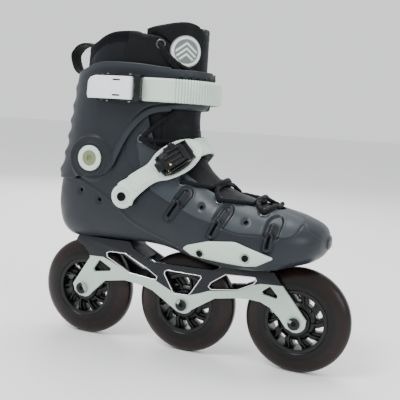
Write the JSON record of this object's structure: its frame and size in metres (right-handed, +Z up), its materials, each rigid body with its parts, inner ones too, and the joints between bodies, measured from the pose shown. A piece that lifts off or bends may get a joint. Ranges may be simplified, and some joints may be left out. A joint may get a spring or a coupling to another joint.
{
  "type": "inline skate",
  "caption": "Hard-shell inline skate boot with hinged cuff, soft liner, laces, instep strap, cuff buckle and large wheels in a one-piece metal frame.",
  "frame": {"origin": "on the ground under the middle axle, in the middle plane of the wheels", "axes": "+X to the toe, +Y to the inner (medial) side, +Z up"},
  "size_m": [0.357, 0.1201, 0.35],
  "materials": {
    "shell": "satin injection-moulded plastic, dark slate",
    "cuff": "satin injection-moulded plastic, dark slate",
    "liner": "padded mesh and synthetic leather, near black",
    "tongue": "padded synthetic leather, near black",
    "footbed": "felted foam insole",
    "heel_pad": "soft shock absorber",
    "slider": "matte wear plate, pale mint",
    "screw_black": "black oxide steel",
    "frame": "anodised pale mint below, dark above, bright machined edges",
    "frame_bolt": "zinc plated steel",
    "axle": "black steel axle",
    "bearing_steel": "ground bearing steel",
    "spacer": "turned aluminium",
    "shield": "black bearing seal",
    "eyelet": "punched eyelet, dark nickel",
    "lace": "round braided polyester, black",
    "strap_white": "smooth moulded strap, mint white",
    "buckle_black": "glass-filled black plastic",
    "brass_pin": "brass coloured rivet pin",
    "steel_pin": "steel pin",
    "cap": "pivot cap, olive centre in a pale ring",
    "badge": "raised soft panel, grey green",
    "webbing": "woven webbing, black",
    "tip": "pale soft rubber cap",
    "lever_white": "textured moulded lever, mint white",
    "spring": "bent spring steel",
    "tyre": "polyurethane tyre, translucent dark brown",
    "hub": "glossy black nylon core"
  },
  "bodies": {
    "boot": {"shell": "shell", "liner_boot": "liner", "tongue_lower": "tongue", "footbed": "footbed", "heel_pad": "heel_pad", "slider_lateral": "slider", "slider_medial": "slider", "slider_screws": "screw_black", "frame": "frame", "frame_bolts": "frame_bolt", "frame_washers": "frame_bolt", "axle_bolts": "axle", "bearing_inner_rings": "bearing_steel", "bearing_spacers": "spacer", "shell_eyelets": "eyelet", "laces": "lace", "strap_arm": "strap_white", "strap_ladder": "strap_white", "strap_screws": "screw_black", "strap_buckle_base": "buckle_black", "strap_buckle_pins": "brass_pin", "cuff_pivot_bolts": "frame_bolt", "cuff_pivot_nuts": "frame_bolt", "cuff_pivot_caps": "cap"},
    "cuff": {"cuff": "cuff", "liner_collar": "liner", "tongue_upper": "tongue", "tongue_badge": "badge", "collar_eyelets": "eyelet", "pull_loop": "webbing", "pull_tip": "tip", "cuff_strap": "strap_white", "cuff_rivets": "steel_pin", "cuff_buckle_base": "buckle_black", "cuff_buckle_pins": "steel_pin", "cuff_catch_spring": "spring"},
    "cuff_lever": {"cuff_lever": "lever_white"},
    "cuff_catch": {"cuff_catch": "buckle_black"},
    "strap_lever": {"strap_lever": "buckle_black"},
    "strap_release": {"strap_release": "buckle_black"},
    "wheel_rear": {"tyre_rear": "tyre", "hub_rear": "hub", "bearing_rings_rear": "bearing_steel", "bearing_balls_rear": "bearing_steel", "bearing_shields_rear": "shield"},
    "wheel_mid": {"tyre_mid": "tyre", "hub_mid": "hub", "bearing_rings_mid": "bearing_steel", "bearing_balls_mid": "bearing_steel", "bearing_shields_mid": "shield"},
    "wheel_front": {"tyre_front": "tyre", "hub_front": "hub", "bearing_rings_front": "bearing_steel", "bearing_balls_front": "bearing_steel", "bearing_shields_front": "shield"}
  },
  "joints": [
    {"name": "cuff_flex", "type": "hinge", "parent": "boot", "child": "cuff", "pos_m": [-0.102, 0, 0.206], "axis": [0, 1, 0], "range_deg": [0, 8], "stiffness_Nm_per_rad": 12},
    {"name": "cuff_lever_open", "type": "hinge", "parent": "cuff", "child": "cuff_lever", "pos_m": [-0.054, -0.0592, 0.2805], "axis": [0, 0, 1], "range_deg": [0, 100]},
    {"name": "cuff_catch_lift", "type": "hinge", "parent": "cuff", "child": "cuff_catch", "pos_m": [-0.08, -0.058, 0.2805], "axis": [0, 0, 1], "range_deg": [-12, 0], "stiffness_Nm_per_rad": 0.02},
    {"name": "strap_lever_lift", "type": "hinge", "parent": "boot", "child": "strap_lever", "pos_m": [0.00116, -0.03954, 0.21971], "axis": [-0.6266, 0, 0.7793], "range_deg": [0, 75]},
    {"name": "strap_release_press", "type": "hinge", "parent": "boot", "child": "strap_release", "pos_m": [-0.01516, -0.04909, 0.20658], "axis": [-0.6266, 0, 0.7793], "range_deg": [-12, 0], "stiffness_Nm_per_rad": 0.02},
    {"name": "wheel_rear_spin", "type": "hinge", "parent": "boot", "child": "wheel_rear", "pos_m": [-0.1235, 0, 0.055], "axis": [0, 1, 0], "continuous": true},
    {"name": "wheel_mid_spin", "type": "hinge", "parent": "boot", "child": "wheel_mid", "pos_m": [0, 0, 0.055], "axis": [0, 1, 0], "continuous": true},
    {"name": "wheel_front_spin", "type": "hinge", "parent": "boot", "child": "wheel_front", "pos_m": [0.1235, 0, 0.055], "axis": [0, 1, 0], "continuous": true}
  ]
}
